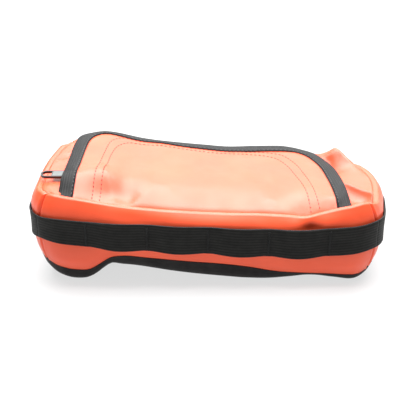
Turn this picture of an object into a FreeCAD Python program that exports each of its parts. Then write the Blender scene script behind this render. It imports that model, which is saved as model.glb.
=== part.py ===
import FreeCAD, Part
import math
import os

import Sketcher
from FreeCAD import Placement, Rotation, Vector

# A small zip-top pouch of coated tarpaulin, in millimetres.  X runs along its length, -Y is the side
# that the lid hangs from, +Z is up, and the origin is the middle of the base where it stands.
# The lid's upper surface is one lofted surface, S.  Everything near the top of the pouch is cut
# between copies of S that are lowered by the offsets in the sheet.

doc = FreeCAD.newDocument("zip_pouch")

DIMENSIONS = [
    # body
    ("rim_height", 14.0, "height of the seam between base and walls"),
    ("foot_half_length", 126.0, "flat part of the base, half length"),
    ("foot_half_depth", 55.0, "flat part of the base, half depth"),
    ("rim_half_length", 135.0, "base seam, half length"),
    ("rim_half_depth", 65.5, "base seam, half depth"),
    ("belly_height", 42.0, "height where the walls bulge most"),
    ("belly_half_length", 140.0, "half length at the bulge"),
    ("belly_half_depth", 70.0, "half depth at the bulge"),
    ("shoulder_height", 70.0, "height of the shoulder section"),
    ("shoulder_half_length", 137.5, "half length at the shoulder"),
    ("shoulder_half_depth", 66.5, "half depth at the shoulder"),
    ("crown_height", 96.0, "height of the top section, above the pouch"),
    ("crown_half_length", 132.0, "half length of the top section"),
    ("crown_half_depth", 60.0, "half depth of the top section"),
    ("corner_radius", 24.0, "vertical corners in plan"),
    ("fabric", 1.2, "thickness of the tarpaulin"),
    # lid outline in plan
    ("lid_left", -115.0, "outer edge of the lid, left"),
    ("lid_right", 112.0, "outer edge of the lid, right"),
    ("lid_back", 56.0, "outer edge of the lid, back"),
    ("lid_front", -61.0, "front edge of the lid, by the fold"),
    ("lid_left_corner", 24.0, "outer radius of the lid's back left corner"),
    ("lid_right_corner", 36.0, "outer radius of the lid's back right corner"),
    ("far_front", -84.0, "front edge of the cutting outlines"),
    # offsets inwards from the lid's outer edge
    ("panel_inset", 0.6, "edge of the lid's tarpaulin, inside its binding"),
    ("binding_inset", 12.0, "inner edge of the binding"),
    ("opening_inset", 2.0, "edge of the opening in the top panel"),
    ("tape_outer_inset", -2.0, "outer edge of the body side zip tape"),
    ("coil_outer_inset", 5.9, "outer edge of the body side coil"),
    ("gap_outer_inset", 8.3, "body side of the gap between the coils"),
    ("gap_inner_inset", 9.7, "lid side of the gap between the coils"),
    ("coil_inner_inset", 12.1, "inner edge of the lid side coil"),
    ("skirt_outer_inset", 16.0, "outer face of the facing's skirt"),
    ("skirt_inner_inset", 17.2, "inner face of the facing's skirt"),
    ("facing_inner_inset", 31.0, "inner edge of the facing, past its two rows of stitching"),
    # depths below S
    ("no_depth", 0.0, "S itself"),
    ("binding_over", -0.6, "top of the binding"),
    ("lid_under", 1.2, "underside of the lid"),
    ("binding_under", 1.8, "underside of the binding"),
    ("facing_under", 2.2, "underside of the facing's flange"),
    ("wall_lip", 1.0, "top edge of the front wall"),
    ("panel_over", 6.35, "upper side of the top panel"),
    ("tape_over", 7.55, "upper side of the zip tape"),
    ("tape_under", 8.25, "underside of the zip tape"),
    ("coil_over", 6.7, "top of the zip coil"),
    ("coil_under", 9.1, "underside of the zip coil"),
    # zip hardware
    ("slider_rest", -25.2, "Y of the slider when the zip is closed"),
    ("slider_width", 11.0, "across the slider"),
    ("slider_length", 12.5, "along the slider"),
    ("slider_plate", 0.8, "thickness of the slider's plates"),
    ("slider_mouth", 2.8, "height of the slider's channel"),
    ("slider_slot", 1.3, "gap between the flanges, for the tape"),
    ("slider_flange", 1.2, "width of each flange"),
    ("slider_web", 0.7, "thickness of the web that joins the plates"),
    ("bail_wire", 1.2, "diameter of the bail's wire"),
    ("bail_span", 6.8, "length of the bail between the middles of its legs"),
    ("bail_height", 5.1, "height of the bail's bar above the tape"),
    ("bail_bend", 1.3, "radius of the bail's bends"),
    ("link_wire", 0.9, "diameter of the link's wire"),
    ("link_length", 6.1, "length of the link between the middles of its end bars"),
    ("link_width", 4.6, "width of the link between the middles of its sides"),
    ("link_bend", 0.7, "radius of the link's corners"),
    ("link_height", 3.4, "height of the link above the tape"),
    ("leg_play", 0.1, "link to the bail's leg"),
    ("tab_length", 25.0, "length of the pull tab from its hinge"),
    ("tab_width", 10.5, "width of the pull tab"),
    ("tab_thickness", 2.0, "thickness of the pull tab"),
    ("tab_rim", 1.4, "width of the tab's rim"),
    ("tab_hole", 7.6, "length of the finger hole"),
    ("tab_shoulder", 1.1, "hinge to the tab's wide part"),
    ("tab_neck", 3.0, "width of the tab's neck, which turns on the link"),
    ("tab_bore", 1.0, "diameter of the neck's bore"),
    ("tab_droop", 5.1, "degrees that the tab hangs below the slider's plane"),
    ("insert_depth", 0.9, "depth of the insert's seat"),
    ("stop_length", 2.6, "length of a zip stop"),
    # webbing
    ("webbing_width", 25.0, "width of the webbing"),
    ("webbing_thickness", 1.5, "thickness of the webbing"),
    ("webbing_height", 43.0, "height of the webbing's middle at X = 0"),
    ("webbing_slope", 1.2, "degrees that the webbing falls to the right"),
    ("webbing_gap", 0.3, "webbing to wall at a bar tack"),
    ("loop_pitch", 47.0, "distance between bar tacks"),
    ("loop_rise", 5.5, "how far a loop stands out from the tacks"),
    ("tack_width", 6.0, "flat part of the webbing at a tack"),
    ("thread_width", 2.4, "width of a bar tack"),
    ("thread_height", 21.0, "height of a bar tack"),
    ("thread_rise", 0.5, "how far a bar tack stands out"),
]

# S is a ruled surface from the front fold to the back edge.  Each station has its X, the height of S at
# the front and the height at the back: the pouch stands taller at its left end, and sags in the middle.
STATIONS = [
    (-145.0, 76.5, 84.0),
    (-110.0, 77.0, 87.5),
    (-80.0, 73.0, 85.0),
    (-45.0, 69.0, 79.0),
    (0.0, 66.0, 73.2),
    (45.0, 63.8, 72.0),
    (80.0, 62.5, 71.5),
    (110.0, 63.0, 68.0),
    (145.0, 64.0, 63.0),
]
for number, (_, front, back) in enumerate(STATIONS, 1):
    DIMENSIONS.append(("front_height_%d" % number, front, "height of S at the front, station %d" % number))
    DIMENSIONS.append(("back_height_%d" % number, back, "height of S at the back, station %d" % number))

S_FRONT, S_BACK = -66.0, 56.0      # the Y of the two heights at each station
REACH = 90.0                       # half depth of the lofted block under S
TALL = 120.0                       # height of the outlines that cut it


def make_sheet():
    """The driving dimensions: alias in column A, value in B and meaning in C."""
    cells = doc.addObject("Spreadsheet::Sheet", "dims")
    for row, (alias, value, meaning) in enumerate(DIMENSIONS, 1):
        cells.set("A%d" % row, alias)
        cells.set("B%d" % row, "%g" % value)
        cells.set("C%d" % row, meaning)
        cells.setAlias("B%d" % row, alias)
    doc.recompute()
    return cells


sheet = make_sheet()


def size(alias):
    """The value of a cell, for the few places that need a number."""
    return float(sheet.get(alias))


def bound(thing, prop, expression):
    """Binds a property to the sheet; a bare alias stands for its cell."""
    thing.setExpression(prop, cell(expression))


def cell(expression):
    """The expression with each alias written as a reference to the sheet."""
    words = str(expression).split()
    return " ".join("dims." + w if w in ALIASES else w for w in words)


ALIASES = {alias for alias, _, _ in DIMENSIONS}


# ---------------------------------------------------------------- sketches and simple solids

def dimension(sketch, kind, *where, value):
    """Adds a dimensional constraint that follows an expression."""
    probe = sketch.evalExpression(cell(value))
    index = sketch.addConstraint(Sketcher.Constraint(kind, *where, float(probe)))
    sketch.setExpression("Constraints[%d]" % index, cell(value))


def polygon(name, corners, placement=None):
    """A closed sketch of straight lines, whose corners are pairs of expressions."""
    sketch = doc.addObject("Sketcher::SketchObject", name)
    places = [Vector(*[float(sketch.evalExpression(cell(v))) for v in corner], 0) for corner in corners]
    for i, start in enumerate(places):
        sketch.addGeometry(Part.LineSegment(start, places[(i + 1) % len(places)]))
    for i, corner in enumerate(corners):
        sketch.addConstraint(Sketcher.Constraint("Coincident", i, 2, (i + 1) % len(places), 1))
        dimension(sketch, "DistanceX", -1, 1, i, 1, value=corner[0])
        dimension(sketch, "DistanceY", -1, 1, i, 1, value=corner[1])
    if placement:
        sketch.Placement = placement
    return sketch


def outline(name, left, right, front, back, radii, height="0"):
    """A closed rectangular sketch in plan, with tangent arcs at the corners that have a radius.
    The corners go round from the front left one."""
    sketch = doc.addObject("Sketcher::SketchObject", name)
    x0, x1, y0, y1 = [float(sketch.evalExpression(cell(v))) for v in (left, right, front, back)]
    sizes = [float(sketch.evalExpression(cell(r))) if r else 0.0 for r in radii]
    corners = [(x0, y0), (x1, y0), (x1, y1), (x0, y1)]
    ways = [Vector(1, 0), Vector(0, 1), Vector(-1, 0), Vector(0, -1)]
    lines, arcs = [], {}
    for i, way in enumerate(ways):
        start = Vector(*corners[i], 0) + way * sizes[i]
        end = Vector(*corners[(i + 1) % 4], 0) - way * sizes[(i + 1) % 4]
        lines.append(sketch.addGeometry(Part.LineSegment(start, end)))
    for i, radius in enumerate(sizes):
        if radius:
            middle = Vector(*corners[i], 0) + (ways[i] - ways[i - 1]) * radius
            begin = math.radians(180 + 90 * i)
            circle = Part.Circle(middle, Vector(0, 0, 1), radius)
            arcs[i] = sketch.addGeometry(Part.ArcOfCircle(circle, begin, begin + math.pi / 2))
    for i in range(4):
        before = lines[i - 1]
        if i in arcs:
            sketch.addConstraint(Sketcher.Constraint("Tangent", before, 2, arcs[i], 1))
            sketch.addConstraint(Sketcher.Constraint("Tangent", arcs[i], 2, lines[i], 1))
            dimension(sketch, "Radius", arcs[i], value=radii[i])
        else:
            sketch.addConstraint(Sketcher.Constraint("Coincident", before, 2, lines[i], 1))
    for i in (0, 2):
        sketch.addConstraint(Sketcher.Constraint("Horizontal", lines[i]))
    for i in (1, 3):
        sketch.addConstraint(Sketcher.Constraint("Vertical", lines[i]))
    dimension(sketch, "DistanceY", -1, 1, lines[0], 1, value=front)
    dimension(sketch, "DistanceX", -1, 1, lines[1], 1, value=right)
    dimension(sketch, "DistanceY", -1, 1, lines[2], 1, value=back)
    dimension(sketch, "DistanceX", -1, 1, lines[3], 1, value=left)
    bound(sketch, "Placement.Base.z", height)
    return sketch


def raised(name, sketch, height):
    """The sketch drawn out along its own Z."""
    solid = doc.addObject("Part::Extrusion", name)
    solid.Base = sketch
    solid.DirMode = "Normal"
    solid.Solid = True
    bound(solid, "LengthFwd", height)
    return solid


def lofted(name, sections):
    solid = doc.addObject("Part::Loft", name)
    solid.Sections = sections
    solid.Solid = True
    solid.Ruled = False
    return solid


def cut(name, base, tool):
    made = doc.addObject("Part::Cut", name)
    made.Base, made.Tool = base, tool
    return made


def common(name, base, tool):
    made = doc.addObject("Part::Common", name)
    made.Base, made.Tool = base, tool
    return made


def fused(name, pieces):
    made = doc.addObject("Part::MultiFuse", name)
    made.Shapes = pieces
    return made


def copy_of(thing, name):
    """Another use of the same solid, with a place of its own."""
    link = doc.addObject("App::Link", name)
    link.LinkedObject = thing
    return link


def box(name, length, width, height, x, y, z):
    """A box whose sizes and low corner are expressions."""
    solid = doc.addObject("Part::Box", name)
    for prop, value in (("Length", length), ("Width", width), ("Height", height)):
        bound(solid, prop, value)
    for axis, value in (("x", x), ("y", y), ("z", z)):
        bound(solid, "Placement.Base." + axis, value)
    return solid


# ---------------------------------------------------------------- the surface S

def block_under_lid():
    """A block from the floor up to S: its section at each station is a quadrilateral along Y."""
    upright = Rotation(Vector(0, 1, 0), Vector(0, 0, 1), Vector(1, 0, 0), "ZXY")
    run = S_BACK - S_FRONT
    sections = []
    for number, (x, _, _) in enumerate(STATIONS, 1):
        rise = "( back_height_%d - front_height_%d ) / %g" % (number, number, run)
        low = "front_height_%d - %s * %g" % (number, rise, REACH + S_FRONT)
        high = "back_height_%d + %s * %g" % (number, rise, REACH - S_BACK)
        corners = [(-REACH, 0.01), (REACH, 0.01), (REACH, high), (-REACH, low)]
        sections.append(polygon("station_%d" % number, corners, Placement(Vector(x, 0, 0), upright)))
    return lofted("block_under_lid", sections)


under_lid = block_under_lid()
lowered = {}


def under(depth):
    """The block below S, lowered by a depth from the sheet; one copy serves every use of it."""
    if depth not in lowered:
        lowered[depth] = copy_of(under_lid, "under_" + depth)
        bound(lowered[depth], "Placement.Base.z", "0 - " + depth)
    return lowered[depth]


def layer(name, shape, over, beneath):
    """The part of a solid between two depths below S."""
    top = common(name + "_blank", shape, under(over))
    return cut(name, top, under(beneath))


def lid_shape(name, inset, front="lid_front"):
    """The lid's outline moved inwards by an inset, as a tall solid."""
    radii = [None, None] + ["max( lid_%s_corner - %s ; 2 )" % (side, inset) for side in ("right", "left")]
    sketch = outline(name + "_outline", "lid_left + " + inset, "lid_right - " + inset, front,
                     "lid_back - " + inset, radii)
    return raised(name, sketch, TALL)


def lid_ring(name, outer, inner, front="lid_front"):
    """The band between two insets, open at the front."""
    return cut(name, lid_shape(name + "_outside", outer, front), lid_shape(name + "_inside", inner, "far_front"))


# ---------------------------------------------------------------- base and walls

def shell_section(name, half_length, half_depth, height, inset):
    minus = " - " + inset
    return outline(name, "0 - ( %s%s )" % (half_length, minus), half_length + minus,
                   "0 - ( %s%s )" % (half_depth, minus), half_depth + minus,
                   ["corner_radius" + minus] * 4, height)


def wall_block(name, inset):
    levels = [("rim_half_length", "rim_half_depth", "rim_height"),
              ("belly_half_length", "belly_half_depth", "belly_height"),
              ("shoulder_half_length", "shoulder_half_depth", "shoulder_height"),
              ("crown_half_length", "crown_half_depth", "crown_height")]
    return lofted(name, [shell_section("%s_%d" % (name, i), *level, inset) for i, level in enumerate(levels)])


def base_panel():
    """A shallow dish: a flat foot with an edge that turns up to the seam."""
    def dish(name, inset, lift):
        sections = [
            shell_section(name + "_foot", "foot_half_length", "foot_half_depth", "0 + " + lift, inset),
            shell_section(name + "_turn", "( foot_half_length + rim_half_length ) / 2 + 2",
                          "( foot_half_depth + rim_half_depth ) / 2 + 2", "rim_height * 0.36", inset),
            shell_section(name + "_rim", "rim_half_length", "rim_half_depth", "rim_height", inset)]
        return lofted(name, sections)
    return cut("base_panel", dish("dish_outside", "0", "0"), dish("dish_inside", "fabric", "fabric"))


wall_outside = wall_block("wall_outside", "0")
wall_tube = cut("wall_tube", wall_outside, wall_block("wall_inside", "fabric"))


def wall_region(name, side):
    """The quarter of the plan that one wall takes, split on the diagonals of the corners."""
    x0, y0 = size("belly_half_length") - size("corner_radius"), size("belly_half_depth") - size("corner_radius")
    far = 60.0
    quarters = {"front": [(-x0, -y0), (-x0 - far, -y0 - far), (x0 + far, -y0 - far), (x0, -y0)],
                "right": [(x0, -y0), (x0 + far, -y0 - far), (x0 + far, y0 + far), (x0, y0)],
                "back": [(x0, y0), (x0 + far, y0 + far), (-x0 - far, y0 + far), (-x0, y0)],
                "left": [(-x0, y0), (-x0 - far, y0 + far), (-x0 - far, -y0 - far), (-x0, -y0)]}
    return raised(name, polygon(name + "_plan", quarters[side]), TALL)


def wall(name, side, top):
    quarter = common(name + "_quarter", wall_tube, wall_region(name + "_region", side))
    return common(name, quarter, under(top))


front_wall = wall("front_wall", "front", "wall_lip")
walls = [front_wall, wall("back_wall", "back", "tape_over"),
         wall("left_end_panel", "left", "tape_over"), wall("right_end_panel", "right", "tape_over")]


def top_panel():
    """The U-shaped panel round the lid's opening; its front ends butt against the front wall."""
    whole = layer("top_whole", wall_outside, "panel_over", "tape_over")
    opened = cut("top_opened", whole, lid_shape("opening", "opening_inset", "far_front"))
    return cut("top_panel", opened, front_wall)


# ---------------------------------------------------------------- lid, binding and zip

def lid_pieces():
    panel = layer("lid_panel", lid_shape("lid_sheet", "panel_inset"), "no_depth", "lid_under")
    trim = layer("binding_whole", lid_ring("binding_band", "0", "binding_inset"),
                 "binding_over", "binding_under")
    binding = cut("lid_binding", trim, layer("binding_slot", lid_shape("slot_sheet", "panel_inset"),
                                             "no_depth", "lid_under"))
    band = layer("facing_whole", lid_ring("facing_band", "skirt_outer_inset", "facing_inner_inset"),
                 "lid_under", "tape_over")
    hollow = common("facing_room", lid_shape("facing_inside", "skirt_inner_inset", "far_front"),
                    under("facing_under"))
    return [panel, binding, cut("lid_zip_facing", band, hollow)]


def slider_bay(name, margin):
    """The room that the slider takes at rest, which the lid's half of the zip leaves free."""
    reach = " ( slider_length / 2 + %g )" % margin
    return box(name, "slider_width + %g" % (2 * margin + 10), "2 *" + reach, TALL,
               "lid_left + ( gap_outer_inset + gap_inner_inset ) / 2 - slider_width / 2 - %g" % (margin + 10),
               "slider_rest -" + reach, 0)


def zip_halves():
    """Two tapes and two coils.  The coils start just behind the slider, where it stands when closed."""
    wall_side = "0 - shoulder_half_depth + fabric + 0.9"
    tape_bag = layer("zip_tape_bag", lid_ring("tape_bag_band", "tape_outer_inset", "coil_outer_inset", wall_side),
                     "tape_over", "tape_under")
    tape_lid = layer("tape_lid_whole", lid_ring("tape_lid_band", "coil_inner_inset", "skirt_inner_inset"),
                     "tape_over", "tape_under")
    tape_lid = cut("zip_tape_lid", tape_lid, slider_bay("tape_bay", 0.5))
    coil_bag = layer("coil_bag_whole", lid_ring("coil_bag_band", "coil_outer_inset", "gap_outer_inset"),
                     "coil_over", "coil_under")
    coil_lid = layer("coil_lid_whole", lid_ring("coil_lid_band", "gap_inner_inset", "coil_inner_inset"),
                     "coil_over", "coil_under")
    closed_end = "slider_rest + slider_length / 2 + 0.5"
    ends = []
    for side, coil in (("bag", coil_bag), ("lid", coil_lid)):
        left = box("coil_end_%s" % side, 60, 100, TALL, -150, closed_end + " - 100", 0)
        right = box("coil_start_%s" % side, 60, 100, TALL, 90, "lid_front + 6 - 100", 0)
        ends.append(cut("zip_coil_" + side, cut("coil_trim_" + side, coil, left), right))
    return [tape_bag, tape_lid] + ends


def zip_stops():
    """Crimped stops: one on each tape ahead of the slider, and one below the last coil on the right."""
    def stop(name, x, y, width):
        block = box(name + "_block", width, "stop_length", TALL, x, y, 0)
        return layer(name, block, "coil_over", "coil_under")
    ahead = "slider_rest - slider_length / 2 - 0.6 - stop_length"
    return [stop("zip_top_stop_bag", "lid_left + coil_outer_inset", ahead, 2.6),
            stop("zip_top_stop_lid", "lid_left + coil_inner_inset - 2.6", ahead, 2.6),
            stop("zip_bottom_stop", "lid_right - gap_outer_inset", "lid_front + 2.4",
                 "gap_outer_inset - coil_outer_inset")]


# ---------------------------------------------------------------- slider and pull

def height_of_tape(x, y):
    """The height of the tape's middle at a place in plan, measured on the lofted block."""
    post = Part.makeLine(Vector(x, y, 1), Vector(x, y, TALL))
    top = max(v.Point.z for v in post.common(under_lid.Shape).Vertexes)
    return top - (size("tape_over") + size("tape_under")) / 2


def slider_frame():
    """Where the slider stands: its middle on the tape, X across, Y along the zip's left run, Z out of it."""
    x = size("lid_left") + (size("gap_outer_inset") + size("gap_inner_inset")) / 2
    y = size("slider_rest")
    step = 5.0
    middle = Vector(x, y, height_of_tape(x, y))
    along = Vector(x, y + step, height_of_tape(x, y + step)) - middle
    across = Vector(x + step, y, height_of_tape(x + step, y)) - Vector(x - step, y, height_of_tape(x - step, y))
    return Placement(middle, Rotation(across, along, Vector(), "YXZ"))


def slider_body():
    """Two plates with flanges that wrap the coils, joined by a web in the gap between them."""
    half_x, half_y = "slider_width / 2", "slider_length / 2"
    pieces = []
    for side, low in (("top", "slider_mouth / 2"), ("bottom", "0 - slider_mouth / 2 - slider_plate")):
        sketch = polygon("slider_%s_plan" % side, [
            ("0 - %s + 1.2" % half_x, "0 - " + half_y), ("%s - 1.2" % half_x, "0 - " + half_y),
            (half_x, "0 - %s + 2.5" % half_y), (half_x, "1"), ("%s - 1.6" % half_x, half_y),
            ("0 - %s + 1.6" % half_x, half_y), ("0 - " + half_x, "1"), ("0 - " + half_x, "0 - %s + 2.5" % half_y)])
        plate = raised("slider_%s_plate" % side, sketch, "slider_plate")
        bound(plate, "Placement.Base.z", low)
        pieces.append(plate)
        depth = "( slider_mouth - slider_slot ) / 2"
        for hand, x in (("left", "0 - " + half_x), ("right", "%s - slider_flange" % half_x)):
            z = "slider_slot / 2" if side == "top" else "0 - slider_mouth / 2"
            pieces.append(box("slider_%s_%s_flange" % (side, hand), "slider_flange", "slider_length * 0.5",
                              depth, x, "0 - slider_length * 0.32", z))
    pieces.append(box("slider_web_block", "slider_web", 4, "slider_mouth", "0 - slider_web / 2",
                      "0 - %s" % half_y, "0 - slider_mouth / 2"))
    return fused("slider_body", pieces)


def rounded_path(points, radii):
    """A wire through straight runs, with a tangent arc of the given radius at each inner point."""
    edges, start = [], points[0]
    for before, corner, after, radius in zip(points, points[1:], points[2:], radii):
        back, on = (before - corner).normalize(), (after - corner).normalize()
        turn = math.pi - back.getAngle(on)
        reach = radius * math.tan(turn / 2)
        first, last = corner + back * reach, corner + on * reach
        middle = corner + (back + on).normalize() * (radius / math.cos(turn / 2) - radius)
        edges += [Part.LineSegment(start, first).toShape(), Part.Arc(first, middle, last).toShape()]
        start = last
    edges.append(Part.LineSegment(start, points[-1]).toShape())
    return Part.Wire(edges)


def slider_bail():
    """A wire arch along the slider, from end to end of its upper plate."""
    half, top, bend = size("bail_span") / 2, size("bail_height"), size("bail_bend")
    foot = size("slider_mouth") / 2 + size("slider_plate")
    points = [Vector(0, -half, foot), Vector(0, -half, top), Vector(0, half, top), Vector(0, half, foot)]
    path = rounded_path(points, [bend, bend])
    ring = Part.Wire(Part.makeCircle(size("bail_wire") / 2, points[0], Vector(0, 0, 1)))
    arch = doc.addObject("Part::Feature", "slider_bail")
    arch.Shape = path.makePipeShell([ring], True, True)
    return arch


def link_ends():
    """X of the link's two end bars: the near one is behind the bail's leg, the far one is the tab's hinge."""
    near = (size("bail_wire") + size("link_wire")) / 2 + size("leg_play")
    return near, near - size("link_length")


def puller_link():
    """A flat wire loop round the bail's back leg; its far bar passes through the tab's neck."""
    near, far = link_ends()
    half, leg, height = size("link_width") / 2, size("bail_span") / 2, size("link_height")
    corners = [Vector(near, leg - half, height), Vector(near, leg + half, height),
               Vector(far, leg + half, height), Vector(far, leg - half, height)]
    start = (corners[0] + corners[3]) / 2
    path = rounded_path([start] + corners + [start], [size("link_bend")] * 4)
    ring = Part.Wire(Part.makeCircle(size("link_wire") / 2, start, Vector(1, 0, 0)))
    loop = doc.addObject("Part::Feature", "puller_link")
    loop.Shape = path.makePipeShell([ring], True, True)
    return loop


def body_sketch(body, name, plane="XY_Plane", lift=0.0):
    """A sketch on one of a body's own origin planes."""
    sketch = body.newObject("Sketcher::SketchObject", name)
    support = [f for f in body.Origin.OriginFeatures if f.Role == plane][0]
    sketch.AttachmentSupport = [(support, "")]
    sketch.MapMode = "FlatFace"
    sketch.AttachmentOffset = Placement(Vector(0, 0, lift), Rotation())
    return sketch


def tab_outline(sketch, left, right, half):
    """A plan with a round left end and a square right end."""
    sketch.addGeometry(Part.LineSegment(Vector(left, -half, 0), Vector(right, -half, 0)))
    sketch.addGeometry(Part.LineSegment(Vector(right, -half, 0), Vector(right, half, 0)))
    sketch.addGeometry(Part.LineSegment(Vector(right, half, 0), Vector(left, half, 0)))
    circle = Part.Circle(Vector(left, 0, 0), Vector(0, 0, 1), half)
    sketch.addGeometry(Part.ArcOfCircle(circle, math.pi / 2, 1.5 * math.pi))
    for first, second in ((0, 1), (1, 2)):
        sketch.addConstraint(Sketcher.Constraint("Coincident", first, 2, second, 1))
    sketch.addConstraint(Sketcher.Constraint("Tangent", 2, 2, 3, 1))
    sketch.addConstraint(Sketcher.Constraint("Tangent", 3, 2, 0, 1))
    sketch.addConstraint(Sketcher.Constraint("Horizontal", 0))
    sketch.addConstraint(Sketcher.Constraint("Vertical", 1))


def rectangle(sketch, left, right, half):
    corners = [Vector(left, -half, 0), Vector(right, -half, 0), Vector(right, half, 0), Vector(left, half, 0)]
    for i, start in enumerate(corners):
        sketch.addGeometry(Part.LineSegment(start, corners[(i + 1) % 4]))
    for i in range(4):
        sketch.addConstraint(Sketcher.Constraint("Coincident", i, 2, (i + 1) % 4, 1))


def pad(body, name, sketch, length, midplane=True):
    feature = body.newObject("PartDesign::Pad", name)
    feature.Profile = sketch
    feature.Midplane = midplane
    bound(feature, "Length", length)
    doc.recompute()
    return feature


def pocket(body, name, sketch, depth, midplane=False):
    """A pocket that is checked to have removed something."""
    before = body.Shape.Volume
    hole = body.newObject("PartDesign::Pocket", name)
    hole.Profile = sketch
    hole.Midplane = midplane
    bound(hole, "Length", depth)
    doc.recompute()
    if not body.Shape.Volume < before - 0.01:
        raise RuntimeError(name + " cut nothing")
    return hole


def tab_lengthwise():
    """Along the tab, as X from its hinge: middle of its round end, then the finger hole, then the insert."""
    end = size("tab_width") / 2 - size("tab_length")
    hole = end + size("tab_hole") - (size("tab_width") / 2 - size("tab_rim"))
    return end, hole, hole + 1.0, -size("tab_shoulder") - size("tab_rim")


def puller_frame():
    """The dark moulded rim of the pull tab, which runs along -X: neck, seat for the insert, finger hole."""
    body = doc.addObject("PartDesign::Body", "puller_frame")
    end, hole_end, insert_start, insert_end = tab_lengthwise()
    half, rim, thick = size("tab_width") / 2, size("tab_rim"), size("tab_thickness")
    plate = body_sketch(body, "tab_plan")
    tab_outline(plate, end, -size("tab_shoulder"), half)
    dimension(plate, "Radius", 3, value="tab_width / 2")
    pad(body, "tab_plate", plate, "tab_thickness")
    neck = body_sketch(body, "neck_plan")
    rectangle(neck, -size("tab_shoulder") - rim / 2, thick / 2, size("tab_neck") / 2)
    pad(body, "tab_neck_pad", neck, "tab_thickness")
    bore = body_sketch(body, "bore_circle", "XZ_Plane")
    circle = bore.addGeometry(Part.Circle(Vector(0, 0, 0), Vector(0, 0, 1), size("tab_bore") / 2))
    bore.addConstraint(Sketcher.Constraint("Coincident", circle, 3, -1, 1))
    dimension(bore, "Radius", circle, value="tab_bore / 2")
    pocket(body, "neck_bore", bore, "tab_neck * 2", True)
    hole = body_sketch(body, "finger_hole_plan")
    tab_outline(hole, end, hole_end, half - rim)
    pocket(body, "finger_hole", hole, "tab_thickness * 2", True)
    seat = body_sketch(body, "seat_plan", lift=thick / 2)
    rectangle(seat, insert_start, insert_end, half - rim)
    pocket(body, "insert_seat", seat, "insert_depth")
    return body


def puller_insert():
    """The pale plate set into the tab's upper face."""
    body = doc.addObject("PartDesign::Body", "puller_insert")
    _, _, start, end = tab_lengthwise()
    plate = body_sketch(body, "insert_plan", lift=size("tab_thickness") / 2 - size("insert_depth"))
    rectangle(plate, start, end, size("tab_width") / 2 - size("tab_rim"))
    pad(body, "insert_plate", plate, "insert_depth", False)
    return body


# ---------------------------------------------------------------- webbing and bar tacks

def webbing_edge(count, pitch, base, corner, lift):
    """One edge of a webbing in plan, along X at Y = -base - lift: a quarter of each corner, flats at the
    tacks and an arc for each loop between them."""
    flat = size("tack_width") / 2
    rise = size("loop_rise")
    y = -base - lift
    tacks = [(i - (count - 1) / 2) * pitch for i in range(count)]
    edges = []
    straight = corner[0]
    start = Vector(-straight, y, 0)
    middle = Vector(-straight, -base + corner[1], 0)
    radius = corner[1] + lift
    def on_corner(sign, degrees):
        a = math.radians(degrees)
        return Vector(sign * (straight + radius * math.sin(a)), middle.y - radius * math.cos(a), 0)
    edges.append(Part.Arc(on_corner(-1, 44), on_corner(-1, 22), start).toShape())
    here = start
    for i, x in enumerate(tacks):
        edges.append(Part.LineSegment(here, Vector(x + flat, y, 0)).toShape())
        here = Vector(x + flat, y, 0)
        if i + 1 < len(tacks):
            there = Vector(tacks[i + 1] - flat, y, 0)
            top = Vector((here.x + there.x) / 2, y - rise, 0)
            edges.append(Part.Arc(here, top, there).toShape())
            here = there
    end = Vector(straight, y, 0)
    edges.append(Part.LineSegment(here, end).toShape())
    edges.append(Part.Arc(end, on_corner(1, 22), on_corner(1, 44)).toShape())
    return edges


def webbing(name, count, half_run, half_out, turn):
    """A length of webbing sewn along one wall, standing on edge; turn is the wall's place round Z."""
    corner = (half_run - size("corner_radius"), size("corner_radius"))
    base = half_out
    gap, thick = size("webbing_gap"), size("webbing_thickness")
    inner = webbing_edge(count, size("loop_pitch"), base, corner, gap)
    outer = webbing_edge(count, size("loop_pitch"), base, corner, gap + thick)
    ends = [Part.LineSegment(a, b).toShape() for a, b in
            ((inner[0].Vertexes[0].Point, outer[0].Vertexes[0].Point),
             (inner[-1].Vertexes[-1].Point, outer[-1].Vertexes[-1].Point))]
    wire = Part.Wire(Part.__sortEdges__(inner + outer + ends))
    profile = doc.addObject("Part::Feature", name + "_profile")
    profile.Shape = Part.Face(wire)
    strip = raised(name, profile, "webbing_width")
    strip.DirMode = "Custom"
    strip.Dir = Vector(0, 0, 1)
    strip.Placement = webbing_place(turn)
    return strip


def webbing_place(turn):
    """The webbing ring leans with the pouch: its middle falls towards the right."""
    lean = Rotation(Vector(0, 1, 0), size("webbing_slope"))
    low = size("webbing_height") - size("webbing_width") / 2
    return Placement(Vector(0, 0, low), lean).multiply(Placement(Vector(), Rotation(Vector(0, 0, 1), turn)))


def bar_tacks():
    """Dense rows of thread across the webbing, one at each tack of each wall, as one group."""
    pieces = []
    for side, (_, count, half_run, half_out, turn) in enumerate(WEBBINGS):
        for i in range(count):
            x = (i - (count - 1) / 2) * size("loop_pitch")
            face = half_out + size("webbing_gap") + size("webbing_thickness")
            tack = doc.addObject("Part::Box", "tack_%d_%d" % (side, i))
            for prop, alias in (("Length", "thread_width"), ("Width", "thread_rise"), ("Height", "thread_height")):
                bound(tack, prop, alias)
            local = Placement(Vector(x - size("thread_width") / 2, -face - size("thread_rise"),
                                     (size("webbing_width") - size("thread_height")) / 2), Rotation())
            tack.Placement = webbing_place(turn).multiply(local)
            pieces.append(tack)
    group = doc.addObject("Part::Compound", "bar_tacks")
    group.Links = pieces
    return group


LONG, DEEP = size("belly_half_length"), size("belly_half_depth")
WEBBINGS = [("front_webbing", 5, LONG, DEEP, 0), ("right_end_webbing", 2, DEEP, LONG, 90),
            ("back_webbing", 5, LONG, DEEP, 180), ("left_end_webbing", 2, DEEP, LONG, 270)]

# ---------------------------------------------------------------- build, place and write

doc.recompute()
nodes = [base_panel(), top_panel()] + walls + lid_pieces() + zip_halves() + zip_stops()
nodes += [webbing(*w) for w in WEBBINGS] + [bar_tacks()]

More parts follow.
